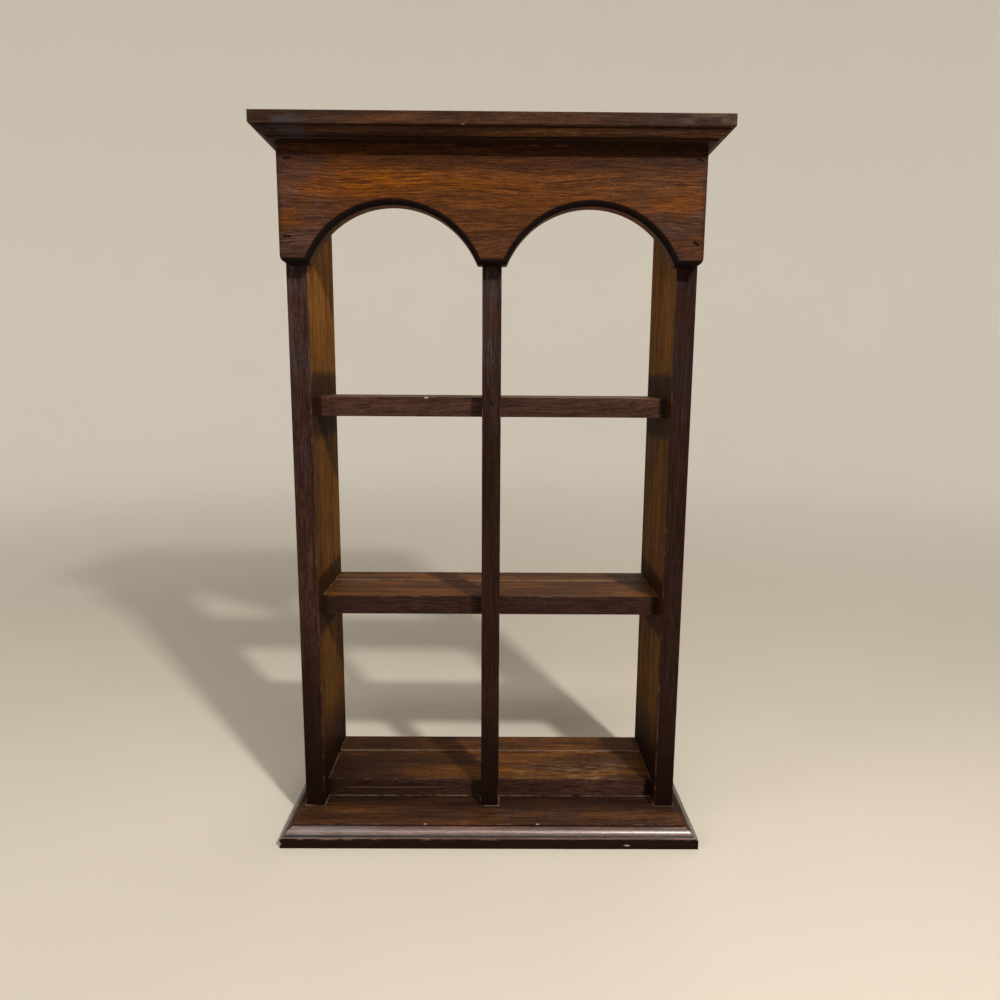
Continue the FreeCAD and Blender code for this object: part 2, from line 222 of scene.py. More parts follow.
class Shader:
    """A material's node tree, written as a chain of small steps."""

    def __init__(self, name):
        self.material = bpy.data.materials.new(name)
        self.material.use_nodes = True
        self.tree = self.material.node_tree
        self.tree.nodes.clear()

    def add(self, kind, **settings):
        node = self.tree.nodes.new(kind)
        for key, value in settings.items():
            setattr(node, key, value)
        return node

    def feed(self, socket, value):
        """Link a socket, or set its constant."""
        if isinstance(value, bpy.types.NodeSocket):
            self.tree.links.new(value, socket)
        elif socket.type == "RGBA":
            socket.default_value = (*value, 1.0)
        else:
            socket.default_value = value

    def math(self, operation, *values):
        node = self.add("ShaderNodeMath", operation=operation)
        for socket, value in zip(node.inputs, values):
            self.feed(socket, value)
        return node.outputs[0]

    def chain(self, operation, values):
        """One operation over several values in turn."""
        result = values[0]
        for value in values[1:]:
            result = self.math(operation, result, value)
        return result

    def most(self, *values):
        return self.chain("MAXIMUM", values)

    def least(self, *values):
        return self.chain("MINIMUM", values)

    def product(self, *values):
        return self.chain("MULTIPLY", values)

    def minus(self, first, second):
        return self.math("SUBTRACT", first, second)

    def linear(self, value, slope, offset):
        """A value times a slope, plus an offset."""
        return self.math("MULTIPLY_ADD", value, slope, offset)

    def vector(self, *values):
        node = self.add("ShaderNodeCombineXYZ")
        for socket, value in zip(node.inputs, values):
            self.feed(socket, value)
        return node.outputs[0]

    def length(self, *values):
        node = self.add("ShaderNodeVectorMath", operation="LENGTH")
        self.feed(node.inputs[0], self.vector(*values))
        return node.outputs["Value"]

    def noise(self, place, cell, detail=2.0, roughness=0.55):
        """Noise over a place in millimetres, by axis or along the grain, with its cells' size each way."""
        parts = place.values() if isinstance(place, dict) else place
        stretched = self.vector(*(self.math("DIVIDE", part, size) for part, size in zip(parts, cell)))
        node = self.add("ShaderNodeTexNoise")
        self.feed(node.inputs["Vector"], stretched)
        self.feed(node.inputs["Scale"], 1.0)
        self.feed(node.inputs["Detail"], detail)
        self.feed(node.inputs["Roughness"], roughness)
        return node.outputs["Fac"]

    def pattern(self, place, name, lift=0.0):
        """One of the patterns, from 0 to 1; a lift spreads it."""
        pattern = PATTERNS[name]
        value = self.noise(place, pattern.cell, pattern.detail, pattern.roughness)
        return self.band(self.math("ADD", value, lift), pattern.off, pattern.on)

    def band(self, value, start, end, full=1.0):
        """0 at start, full at end, smooth between them."""
        node = self.add("ShaderNodeMapRange", interpolation_type="SMOOTHSTEP")
        self.feed(node.inputs["Value"], value)
        self.feed(node.inputs["From Min"], start)
        self.feed(node.inputs["From Max"], end)
        self.feed(node.inputs["To Max"], full)
        return node.outputs["Result"]

    def mix(self, share, first, second):
        node = self.add("ShaderNodeMix", data_type="RGBA")
        self.feed(node.inputs["Factor"], share)
        self.feed(node.inputs[6], first)
        self.feed(node.inputs[7], second)
        return node.outputs[2]

    def place(self):
        """The point's x, y and z in the shared frame, in millimetres."""
        here = self.add("ShaderNodeTexCoord").outputs["Object"]
        scaled = self.add("ShaderNodeVectorMath", operation="SCALE")
        self.feed(scaled.inputs[0], here)
        self.feed(scaled.inputs["Scale"], 1 / MM)
        parts = self.add("ShaderNodeSeparateXYZ")
        self.feed(parts.inputs[0], scaled.outputs[0])
        return dict(zip("XYZ", parts.outputs))

    def bump(self, height, depth, strength):
        node = self.add("ShaderNodeBump")
        self.feed(node.inputs["Height"], height)
        self.feed(node.inputs["Distance"], depth)
        self.feed(node.inputs["Strength"], strength)
        return node.outputs["Normal"]

    def finish(self, **sockets):
        """End the tree in a Principled surface with these sockets."""
        surface = self.add("ShaderNodeBsdfPrincipled")
        for name, value in sockets.items():
            self.feed(surface.inputs[name.replace("_", " ")], value)
        output = self.add("ShaderNodeOutputMaterial")
        self.tree.links.new(surface.outputs[0], output.inputs["Surface"])
        return self.material


def box_in_mm(node):
    """A node's lowest and highest corner in millimetres."""
    low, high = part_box(node)
    return low / MM, high / MM


def edge_distance(shader, place, node):
    """How far a point on a plain board lies from the nearest edge of its box."""
    low, high = box_in_mm(node)
    inside = []
    for axis, start, end in zip("XYZ", low, high):
        off_middle = shader.math("ABSOLUTE", shader.minus(place[axis], (start + end) / 2))
        inside.append(shader.minus((end - start) / 2, off_middle))
    smaller = shader.least(inside[0], inside[1])
    larger = shader.most(inside[0], inside[1])
    return shader.most(smaller, shader.least(larger, inside[2]))


def end_distance(shader, place, node):
    """How far a point on a board that lies across the middle is from the board's nearer end."""
    high = box_in_mm(node)[1]
    return shader.minus(high.x, shader.math("ABSOLUTE", place["X"]))


def box_distance(shader, place, node, axes):
    """How far a point lies outside another board's box, measured along two axes."""
    low, high = box_in_mm(node)
    outside = []
    for axis in axes:
        start = low["XYZ".index(axis)]
        end = high["XYZ".index(axis)]
        off_middle = shader.math("ABSOLUTE", shader.minus(place[axis], (start + end) / 2))
        outside.append(shader.most(shader.minus(off_middle, (end - start) / 2), 0.0))
    return shader.length(*outside, 0.0)


def moulding_place(shader, place, node):
    """How far a point on a moulded board lies in from its outermost faces, and from its wide face."""
    low, high = box_in_mm(node)
    from_front = shader.minus(place["Y"], low.y)
    inset = shader.least(end_distance(shader, place, node), from_front)
    if node == "base_board":
        return inset, shader.minus(place["Z"], low.z)
    return inset, shader.minus(high.z, place["Z"])


def line_distance(shader, section, line_inset, line_height):
    """Distance from a moulding's running line, measured in its section."""
    inset, height = section
    return shader.length(shader.minus(inset, line_inset), shader.minus(height, line_height), 0.0)


def grain_place(shader, place, board):
    """The point along the wavy grain, across it and through the board, moved by the board's own seed."""
    seed_steps = (37, 3, 5)
    along, across, through = [shader.math("ADD", place[axis], float(board.seed * step))
                              for axis, step in zip(board.axes, seed_steps)]
    waves = shader.noise((along, across, through), GRAIN_WAVE, 1.0)
    return [along, shader.linear(waves, GRAIN_WANDER, across), through]


def growth_rings(shader, place, grain, board):
    """Thin pale rings round the tree's heart, which runs along the board a little askew."""
    ring_width = 7.0
    ring_end = (1.0, 0.9)
    sharpness = 3.0
    taper = 0.03
    wander = 14.0
    wander_cell = (400, 60, 60)
    across = shader.minus(place[board.axes[1]], board.heart[0])
    through = shader.minus(place[board.axes[2]], board.heart[1])
    drift = shader.product(shader.noise(grain, wander_cell, 2.5), wander)
    askew = shader.product(place[board.axes[0]], taper)
    radius = shader.chain("ADD", (shader.length(across, through, 0.0), drift, askew))
    phase = shader.math("FRACT", shader.math("DIVIDE", radius, ring_width))
    return shader.product(shader.math("POWER", phase, sharpness), shader.band(phase, *ring_end))


def wood_tone(shader, place, grain, board, finish, stain):
    """Stained grain: rings, streaks and fibres from heavy dark stain to light amber stain, with the painted
    shade and reflections that the stain masks carry.
    """
    ring_share = 0.5
    rings = growth_rings(shader, place, grain, board)
    tone = shader.mix(stain.thin, finish.middle, finish.thin)
    tone = shader.mix(shader.product(rings, stain.thin, ring_share), tone, finish.thin)
    tone = shader.mix(stain.haze, tone, HAZE)
    for name, share in FIGURE.items():
        dark = shader.pattern(grain, name)
        tone = shader.mix(shader.product(dark, share), tone, finish.thick)
    return shader.mix(stain.thick, tone, finish.thick)


def left_stain(shader, place, node):
    """More stain towards a board's left end."""
    low, high = box_in_mm(node)
    start = 0.3 * high.x
    end = 0.8 * low.x
    return shader.band(place["X"], start, end, BOARDS[node].shade)


def patches(shader, grain, cover):
    """Long clouds where the stain was wiped lighter."""
    return shader.pattern(grain, "wiped_patches", LIFT_AT_FULL_COVER * cover)


def clouds(shader, place, cover):
    """Round clouds in the lacquer."""
    return shader.pattern(place, "lacquer_clouds", LIFT_AT_FULL_COVER * cover)


def inner_face(shader, place, node):
    """1 on a side's inner face, which is turned golden by a painted reflection."""
    skin_fade = (1.5, 0.5)
    low, high = box_in_mm(node)
    face = min(abs(low.x), abs(high.x))
    behind_face = shader.minus(shader.math("ABSOLUTE", place["X"]), face)
    return shader.band(behind_face, *skin_fade)


def painted_shade_by_shelves(shader, place):
    """1 on a side close to the end of a shelf, where painted shade darkens it."""
    fade = (32.0, 17.0)
    gaps = [box_distance(shader, place, shelf, "YZ") for shelf in SHELVES]
    return shader.band(shader.least(*gaps), *fade)


def upright_stain_and_shade(shader, place, grain, node):
    """Front edges left dull, and painted shade darkening it down the board and towards the foot."""
    edge_fade = (1.2, 0.4)
    face_thinness = 0.25
    foot_fade = (310.0, 10.0)
    foot_share = 0.95
    head_fade = (380.0, 150.0)
    cloud_cover = 0.8
    haze_share = 0.9
    low, high = box_in_mm(node)
    from_top = shader.minus(high.z, place["Z"])
    edge = shader.band(shader.minus(place["Y"], low.y), *edge_fade)
    thin = shader.product(shader.minus(1.0, edge), face_thinness)
    # painted shade: the upright darkens down the board and at the foot
    down = shader.band(from_top, *DOWN_FADE, BOARDS[node].shade)
    foot = shader.band(shader.minus(place["Z"], low.z), *foot_fade, foot_share)
    thick = shader.most(down, foot, shader.product(edge, BOARDS[node].edge))
    head = shader.band(from_top, *head_fade)
    haze = shader.product(edge, head, clouds(shader, place, cloud_cover), haze_share)
    if node == "centre_stile":
        return Stain(thin, thick, haze)
    return inner_reflection_and_shade(shader, place, grain, node, Stain(thin, thick, haze))


def inner_reflection_and_shade(shader, place, grain, node, outer):
    """A side's inner face: turned golden by a painted reflection but for the front, and darkened by painted
    shade down the board, at the foot and beside the shelves.
    """
    front_fade = (0.8, 4.0)
    back_fade = (2.0, 45.0)
    foot_fade = (165.0, 30.0)
    patch_cover = 0.5
    least_wiped = 0.45
    patch_gain = 0.3
    back_gain = 0.3
    down_share = 0.46
    foot_share = 0.95
    corner_share = 0.85
    low, high = box_in_mm(node)
    from_front = shader.minus(place["Y"], low.y)
    inner = shader.product(inner_face(shader, place, node), shader.band(from_front, *front_fade))
    # the golden share on the inner face is a painted reflection, patchy and stronger towards the back
    wiped = shader.linear(patches(shader, grain, patch_cover), patch_gain, least_wiped)
    wiped = shader.linear(shader.band(from_front, *back_fade), back_gain, wiped)
    # painted shade down the inner face, at its foot and beside the shelf ends
    down = shader.band(shader.minus(high.z, place["Z"]), *DOWN_FADE, down_share)
    foot = shader.band(shader.minus(place["Z"], low.z), *foot_fade, foot_share)
    corners = shader.product(painted_shade_by_shelves(shader, place), corner_share)
    thin = shader.most(shader.product(inner, wiped), outer.thin)
    outside = shader.product(outer.thick, shader.minus(1.0, inner))
    thick = shader.most(outside, shader.product(inner, shader.most(down, foot, corners)))
    return Stain(thin, thick, outer.haze)


def shelf_stain_and_shade(shader, place, grain, node):
    """Tops wiped lighter in clouds, front edges darker with stain, and darkest where they meet the sides,
    which is painted shade.
    """
    edge_fade = (1.6, 0.4)
    end_fade = (8.5, 4.0)
    end_share = 0.85
    arris_fade = (9.0, 0.0)
    arris_share = 0.25
    cloud_cover = 0.35
    cloud_share = 0.4
    edge_haze = 0.5
    patch_cover = 0.6
    edge_loss = 0.8
    low = box_in_mm(node)[0]
    edge = shader.band(shader.minus(place["Y"], low.y), *edge_fade)
    # painted shade on the front edge where it meets the sides
    ends = shader.product(edge, shader.band(end_distance(shader, place, node), *end_fade))
    arris = shader.band(edge_distance(shader, place, node), *arris_fade, arris_share)
    thick = shader.most(shader.product(edge, BOARDS[node].edge), shader.product(ends, end_share), arris,
                        left_stain(shader, place, node))
    haze = shader.most(shader.product(clouds(shader, place, cloud_cover), cloud_share),
                       shader.product(edge, edge_haze))
    bare_edge = shader.linear(edge, -edge_loss, 1.0)
    return Stain(shader.product(patches(shader, grain, patch_cover), bare_edge), thick, haze)


def valance_glow(shader, place, grain, node):
    """A wavy amber glow along the middle of the valance, which fades to the right."""
    glow_height = 68.0
    height_fade = (28.0, 4.0)
    right_fade = (150.0, -40.0)
    wave_cell = (160, 60, 60)
    wave_height = 30.0
    patch_cover = 0.6
    patch_gain = 0.5
    low = box_in_mm(node)[0]
    wave = shader.linear(shader.noise(grain, wave_cell, 1.0), wave_height, -wave_height / 2)
    off_glow = shader.minus(shader.math("ADD", place["Z"], wave), low.z + glow_height)
    level = shader.band(shader.math("ABSOLUTE", off_glow), *height_fade)
    patchy = shader.linear(patches(shader, grain, patch_cover), patch_gain, 1.0 - patch_gain)
    return shader.product(level, shader.band(place["X"], *right_fade), patchy)


def arch_edges(shader, place, node):
    """1 on the round-over of the arches and feet, and 1 inside the arches behind it."""
    rim = 0.4
    rim_fade = 2.0
    skin = 0.3
    softness = 0.5
    low = box_in_mm(node)[0]
    off_middle = shader.math("ABSOLUTE", place["X"])
    from_axis = shader.length(shader.minus(off_middle, ARCH_MIDDLE),
                              shader.minus(place["Z"], ARCH_LEVEL), 0.0)
    from_edge = shader.minus(from_axis, ARCH_RADIUS)
    from_front = shader.minus(place["Y"], low.y)
    start = ROUNDOVER - rim
    end = start - rim_fade
    routed = shader.most(shader.band(from_edge, start, end),
                         shader.band(shader.minus(place["Z"], low.z), start, end))
    inside = shader.product(shader.band(from_edge, 2 * skin, skin),
                            shader.band(from_front, ROUNDOVER - softness, ROUNDOVER + softness))
    return routed, inside


def valance_stain_and_painted_light(shader, place, grain, node):
    """An amber glow along the middle, clouded ends and feet, a round-over blackened as painted shade, golden
    arches as a painted reflection, and a painted shadow under the cornice.
    """
    patch_cover = 0.5
    patch_share = 0.7
    routed_share = 0.97
    arris_fade = (6.0, 0.0)
    arris_share = 0.4
    end_fade = (75.0, 15.0)
    tongue_fade = (40.0, 5.0)
    tongue_haze = 0.3
    tongue_share = 0.7
    cloud_cover = 0.75
    haze_share = 0.55
    top_fade = (6.0, 2.0)
    top_share = 0.5
    shade_fade = (26.0, 16.0)
    shade_share = 0.45
    low, high = box_in_mm(node)
    from_top = shader.minus(high.z, place["Z"])
    routed, inside_arch = arch_edges(shader, place, node)
    # inside the arches the golden tone is a painted reflection
    thin = shader.most(valance_glow(shader, place, grain, node),
                       shader.product(patches(shader, grain, patch_cover), patch_share), inside_arch)
    # the round-over is blackened as painted shade
    routed = shader.product(routed, shader.minus(routed_share, inside_arch))
    arris = shader.band(edge_distance(shader, place, node), *arris_fade, arris_share)
    ends = shader.band(end_distance(shader, place, node), *end_fade)
    tongue = shader.band(shader.minus(place["Z"], low.z), *tongue_fade, tongue_haze)
    haze = shader.product(shader.most(ends, tongue), clouds(shader, place, cloud_cover), haze_share)
    # painted shadow of the cornice along the top of the valance
    top = shader.most(shader.band(from_top, *top_fade, top_share),
                      shader.band(from_top, *shade_fade, shade_share))
    return Stain(thin, shader.most(routed, arris, top, shader.product(tongue, tongue_share)), haze)


def moulding_stain_and_shade(shader, place, grain, node):
    """Heavy stain on the cornice's fillet; painted shade on the base's fillet, in the inner corners of the
    moulding, under the cornice and on the base beside the bottom shelf.
    """
    fillet_fade = (0.9, 0.2)
    rim_fade = (0.1, 0.5)
    corner_fade = (1.8, 0.4)
    corner_share = 0.95
    patch_cover = 0.5
    cloud_cover = 0.4
    section = moulding_place(shader, place, node)
    below_ledge = shader.minus(LEDGE_HEIGHT, section[1])
    # on the base the dark fillet is painted shade along the bottom
    fillet = shader.product(shader.band(section[0], *fillet_fade), shader.band(below_ledge, *rim_fade))
    from_corner = shader.least(line_distance(shader, section, LEDGE_INSET, LEDGE_HEIGHT),
                               line_distance(shader, section, BROW_INSET, OVOLO_TOP))
    # painted shade in the inner corners of the moulding
    corners = shader.band(from_corner, *corner_fade, corner_share)
    if node == "cornice_board":
        fillet = shader.product(fillet, cornice_middle(shader, place))
        shaded = painted_soffit_shade(shader, section)
        haze_share = 0.25
    else:
        shaded = painted_shade_under_shelf(shader, place)
        haze_share = 0.5
    thick = shader.most(shader.product(fillet, BOARDS[node].edge), corners, shaded,
                        left_stain(shader, place, node))
    haze = shader.product(clouds(shader, place, cloud_cover), haze_share)
    return Stain(patches(shader, grain, patch_cover), thick, haze)


def cornice_middle(shader, place):
    """Less stain on the middle of the cornice's fillet."""
    fade = (150.0, 60.0)
    loss = 0.4
    return shader.linear(shader.band(shader.math("ABSOLUTE", place["X"]), *fade), -loss, 1.0)


def painted_soffit_shade(shader, section):
    """Painted shade on the underside of the cornice."""
    rim = 0.2
    share = 0.8
    return shader.band(section[1], OVOLO_TOP, BROW_HEIGHT - rim, share)


def painted_shade_under_shelf(shader, place):
    """Painted shade on the base towards the uprights and the bottom shelf."""
    fade = (-56.0, -28.0)
    share = 0.62
    return shader.band(place["Y"], *fade, share)


STAINS_AND_PAINTED_LIGHT = {"upright_wood": upright_stain_and_shade, "shelf_wood": shelf_stain_and_shade, "valance_wood": valance_stain_and_painted_light,
          "moulding_wood": moulding_stain_and_shade}


def plain_wear(shader, place, node):
    """Where a plain board's arrises are rubbed: not at a shelf's ends, and most at the right side's foot."""
    arris_fade = (1.1, 0.2)
    foot_fade = (130.0, 30.0)
    inner_fade = (3.0, 1.0)
    foot_lift = 0.14
    end_fade = (2.0, 5.0)
    share = 0.6
    low = box_in_mm(node)[0]
    arris = shader.band(edge_distance(shader, place, node), *arris_fade)
    lift = 0.0
    if node == "right_side":
        lift = shader.product(shader.band(shader.minus(place["Z"], low.z), *foot_fade),
                              shader.band(shader.minus(place["X"], low.x), *inner_fade), foot_lift)
    worn = shader.product(arris, shader.pattern(place, "plain_rubbing", lift), share)
    if node in SHELVES:
        worn = shader.product(worn, shader.band(end_distance(shader, place, node), *end_fade))
    return worn


def moulding_wear(shader, place, node):
    """Where a moulded board is rubbed: the base most on its left, the cornice on its top right arris."""
    arris_depth = 0.4
    arris_fade = (1.5, 0.4)
    brow_fade = (1.2, 0.3)
    top_fade = (1.0, 0.3)
    left_start = 60.0
    left_lift = 0.12
    right_start = 80.0
    brow_share = 0.7
    base_share = 0.6
    cornice_share = 0.15
    top_share = 0.5
    low, high = box_in_mm(node)
    section = moulding_place(shader, place, node)
    arris_line = line_distance(shader, section, arris_depth, LEDGE_HEIGHT - arris_depth)
    arris = shader.band(arris_line, *arris_fade)
    left = shader.band(place["X"], left_start, low.x, left_lift)
    worn = shader.pattern(place, "moulding_rubbing", left)
    if node == "cornice_board":
        top_arris = shader.band(line_distance(shader, section, 0.0, 0.0), *top_fade)
        top_right = shader.product(top_arris, shader.band(place["X"], right_start, high.x))
        return shader.most(shader.product(arris, worn, cornice_share), shader.product(top_right, top_share))
    brow = shader.band(line_distance(shader, section, BROW_INSET, BROW_HEIGHT), *brow_fade)
    return shader.product(shader.most(arris, shader.product(brow, brow_share)), worn, base_share)


def shelf_dashes(shader, place, grain, node):
    """Pale dashes along the grain in one bay of the bottom shelf."""
    left_fade = (12.0, 40.0)
    right_fade = (155.0, 125.0)
    top_fade = (0.4, 0.1)
    front_fade = (50.0, 20.0)
    share = 0.55
    low, high = box_in_mm(node)
    in_bay = shader.product(shader.band(place["X"], *left_fade), shader.band(place["X"], *right_fade))
    on_top = shader.band(shader.minus(high.z, place["Z"]), *top_fade)
    near_front = shader.band(shader.minus(place["Y"], low.y), *front_fade)
    return shader.product(shader.pattern(grain, "dashes"), in_bay, on_top, near_front, share)


def shelf_scratch(shader, place, node):
    """A scratch along the front edge of the bottom shelf."""
    depth = 9.8
    width_fade = (0.5, 0.1)
    left_fade = (-160.0, -140.0)
    right_fade = (-40.0, -70.0)
    front_fade = (0.5, 0.0)
    share = 0.45
    low, high = box_in_mm(node)
    off_scratch = shader.math("ABSOLUTE", shader.minus(place["Z"], high.z - depth))
    return shader.product(shader.band(off_scratch, *width_fade), shader.band(place["X"], *left_fade),
                          shader.band(place["X"], *right_fade),
                          shader.band(shader.minus(place["Y"], low.y), *front_fade), share)


def cornice_front(shader, place, node):
    """1 on the front of the cornice, 0 on its top and ends."""
    softness = 3.0
    top_fade = (0.2, 0.7)
    low, high = box_in_mm(node)
    from_front = shader.minus(place["Y"], low.y)
    return shader.product(shader.band(from_front, BROW_INSET + softness, BROW_INSET),
                          shader.band(shader.minus(high.z, place["Z"]), *top_fade))


def cornice_scuffs(shader, place, node):
    """Grey scuffs on the right end of the cornice's fillet."""
    start = 120.0
    softness = 3.0
    share = 0.25
    high = box_in_mm(node)[1]
    from_top = shader.minus(high.z, place["Z"])
    on_fillet = shader.product(cornice_front(shader, place, node),
                               shader.band(from_top, LEDGE_HEIGHT, LEDGE_HEIGHT - softness))
    to_right = shader.band(place["X"], start, high.x, share)
    return shader.product(shader.pattern(place, "scuffs"), to_right, on_fillet)


def cornice_cool_reflection(shader, place, node):
    """A painted blue-grey reflection of cool daylight at the left end of the cornice's front."""
    start = -100.0
    share = 0.6
    low = box_in_mm(node)[0]
    to_left = shader.band(place["X"], start, low.x, share)
    return shader.product(shader.pattern(place, "cornice_cool_reflection"), to_left, cornice_front(shader, place, node))


def ovolo_cool_reflection(shader, place, node):
    """A painted blue-grey reflection at the left end of the base's ovolo, thinning towards the middle."""
    start = -20.0
    share = 0.6
    low = box_in_mm(node)[0]
    return shader.product(shader.pattern(place, "ovolo_cool_reflection"), shader.band(place["X"], start, low.x, share))


def ledge_crease_shade(shader, place, node):
    """Painted shade in the corner between the base's ledge and its ovolo."""
    fade = (1.7, 0.9)
    share = 0.95
    section = moulding_place(shader, place, node)
    return shader.band(line_distance(shader, section, LEDGE_INSET, LEDGE_HEIGHT), *fade, share)


def base_dust(shader, place):
    """Dust and dried glue round the feet of the uprights and along the bottom shelf, with a few specks."""
    top_depths = (0.4, 0.1)
    line_fade = (1.7, 0.3)
    line_share = 0.6
    speck_share = 0.8
    gaps = [box_distance(shader, place, foot, "XY")
            for foot in ("left_side", "right_side", "centre_stile", "bottom_shelf")]
    on_top = shader.band(shader.minus(BROW_HEIGHT, place["Z"]), *top_depths)
    line = shader.band(shader.least(*gaps), *line_fade, line_share)
    return shader.most(shader.product(line, shader.pattern(place, "base_dust"), on_top),
                       shader.product(shader.pattern(place, "base_specks"), on_top, speck_share))


def shelf_dust_and_lip_highlight(shader, place, node):
    """Dust in the corners where a shelf meets the sides, and a broken painted highlight along the lip of its
    groove.
    """
    lip_depth = 0.3
    lip_fade = (1.0, 0.3)
    least_lip = 0.5
    top_depths = (0.6, 0.2)
    corner_fade = (1.5, 0.3)
    share = 0.5
    high = box_in_mm(node)[1]
    broken = shader.pattern(place, "shelf_dust_and_lip_highlight")
    lip_place = high.y - GROOVE_FROM_BACK + GROOVE_HALF_WIDTH
    off_lip = shader.length(shader.minus(place["Y"], lip_place),
                            shader.minus(place["Z"], high.z - lip_depth), 0.0)
    # the lip line is a painted highlight
    lip = shader.product(shader.band(off_lip, *lip_fade), shader.linear(broken, 1.0 - least_lip, least_lip))
    on_top = shader.band(shader.minus(high.z, place["Z"]), *top_depths)
    corner = shader.product(shader.band(end_distance(shader, place, node), *corner_fade), broken, on_top)
    return shader.product(shader.most(corner, lip), share)


def upright_dust(shader, place):
    """A few pale specks on the uprights."""
    share = 0.7
    return shader.product(shader.pattern(place, "upright_specks"), share)


def other_dust(shader, place):
    """Fewer and smaller specks on the valance and the cornice."""
    share = 0.5
    return shader.product(shader.pattern(place, "other_specks"), share)


def dust_and_lip_highlight_on(shader, place, node):
    """Pale specks and lines of any board, with a painted highlight along a shelf's groove lip."""
    if node == "base_board":
        return base_dust(shader, place)
    if node in SHELVES:
        return shelf_dust_and_lip_highlight(shader, place, node)
    if BOARDS[node].finish == "upright_wood":
        return upright_dust(shader, place)
    return other_dust(shader, place)


def node_shape(node):
    """A node's solid as a bmesh, with its seams welded."""
    shape = bmesh.new()
    shape.from_mesh(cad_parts[node].data)
    bmesh.ops.remove_doubles(shape, verts=shape.verts, dist=WELD)
    return shape


def islands(shape):
    """The separate solids of a bmesh, each as a list of its points."""
    found = []
    done = set()
    for first in shape.verts:
        if first in done:
            continue
        island = [first]
        done.add(first)
        for vert in island:
            others = [edge.other_vert(vert) for edge in vert.link_edges]
            fresh = [other for other in others if other not in done]
            done.update(fresh)
            island.extend(fresh)
        found.append(island)
    return found


def staple_crowns(node):
    """The two ends, in millimetres, of the visible mark of each staple in a node, seen from the front."""
    rounding = 0.3
    flatness = 0.1
    shape = node_shape(node)
    crowns = []
    for island in islands(shape):
        points = [vert.co / MM for vert in island]
        front = min(point.y for point in points)
        corners = sorted((point for point in points if point.y < front + flatness), key=tuple)
        left = (corners[0] + corners[1]) / 2
        right = (corners[-2] + corners[-1]) / 2
        middle = (left + right) / 2
        crowns.append((left.lerp(middle, rounding), right.lerp(middle, rounding)))
    shape.free()
    return crowns


def crown_distance(shader, place, crown):
    """Distance from a staple's crown, measured on the front face."""
    start, end = crown
    along = Vector((end.x - start.x, end.z - start.z))
    from_x = shader.minus(place["X"], start.x)
    from_z = shader.minus(place["Z"], start.z)
    share = shader.math("ADD", shader.product(from_x, along.x / along.length_squared),
                        shader.product(from_z, along.y / along.length_squared))
    share = shader.least(shader.most(share, 0.0), 1.0)
    return shader.length(shader.minus(from_x, shader.product(share, along.x)),
                         shader.minus(from_z, shader.product(share, along.y)), 0.0)


def pooled_stain(shader, place, node):
    """A near-black rim round the staples on the front of a board."""
    crown_fade = (1.35, 0.95)
    front_fade = (1.5, 0.5)
    share = 0.95
    low = box_in_mm(node)[0]
    gaps = [crown_distance(shader, place, crown) for crown in staple_crowns(FRONT_STAPLES[node])]
    on_front = shader.band(shader.minus(place["Y"], low.y), *front_fade)
    return shader.product(shader.band(shader.least(*gaps), *crown_fade), on_front, share)


def marked(shader, place, grain, node, finish, colour):
    """A board's colour with its own marks, and the painted reflections and shade on the mouldings."""
    if node == "bottom_shelf":
        marks = shader.most(shelf_dashes(shader, place, grain, node), shelf_scratch(shader, place, node))
        colour = shader.mix(marks, colour, PALE_FLECK)
    if node == "cornice_board":
        colour = shader.mix(cornice_scuffs(shader, place, node), colour, SCUFF)
        colour = shader.mix(cornice_cool_reflection(shader, place, node), colour, COOL_REFLECTION)
    if finish is OVOLO_PAINTED_SHEEN:
        colour = shader.mix(ovolo_cool_reflection(shader, place, node), colour, OVOLO_COOL_REFLECTION)
        colour = shader.mix(ledge_crease_shade(shader, place, node), colour, BLACK_STAIN_AND_SHADE)
    if node in FRONT_STAPLES:
        colour = shader.mix(pooled_stain(shader, place, node), colour, BLACK_STAIN_AND_SHADE)
    return colour


def lacquered(shader, place, grain, node, board, finish):
    """Stain, wear, pale specks and the painted light and shade of one board under its lacquer."""
    smear_cell = (60, 18, 18)
    smear_range = 0.2
    worn_roughness = 0.6
    dust_roughness = 0.9
    thread_height = 0.3
    relief_depth = 0.06 * MM
    relief_strength = 0.3
    # the stain masks also carry painted shade and painted reflections
    stain = STAINS_AND_PAINTED_LIGHT[board.finish](shader, place, grain, node)
    colour = wood_tone(shader, place, grain, board, finish, stain)
    colour = marked(shader, place, grain, node, finish, colour)
    wear = moulding_wear if board.finish == "moulding_wood" else plain_wear
    rubbed = wear(shader, place, node)
    dust_and_lip_highlight = dust_and_lip_highlight_on(shader, place, node)
    colour = shader.mix(rubbed, colour, WORN_WOOD)
    colour = shader.mix(dust_and_lip_highlight, colour, DUST_AND_LIP_HIGHLIGHT)
    smears = shader.noise(grain, smear_cell, 3.0)
    rough = shader.linear(smears, smear_range, finish.roughness - smear_range / 2)
    rough = shader.most(rough, shader.product(rubbed, worn_roughness), shader.product(dust_and_lip_highlight, dust_roughness))
    threads = shader.product(shader.pattern(grain, "threads"), thread_height)
    height = shader.minus(threads, shader.pattern(grain, "pores"))
    normal = shader.bump(height, relief_depth, relief_strength)
    return shader.finish(Base_Color=colour, Roughness=rough, Normal=normal, Specular_IOR_Level=finish.gloss)


def stained_and_shaded_wood(node, board):
    """One board's stained wood, with its painted shade and reflections."""
    # the material also carries the board's painted shade and reflections
    shader = Shader(node + "_stain")
    place = shader.place()
    return lacquered(shader, place, grain_place(shader, place, board), node, board, FINISHES[board.finish])


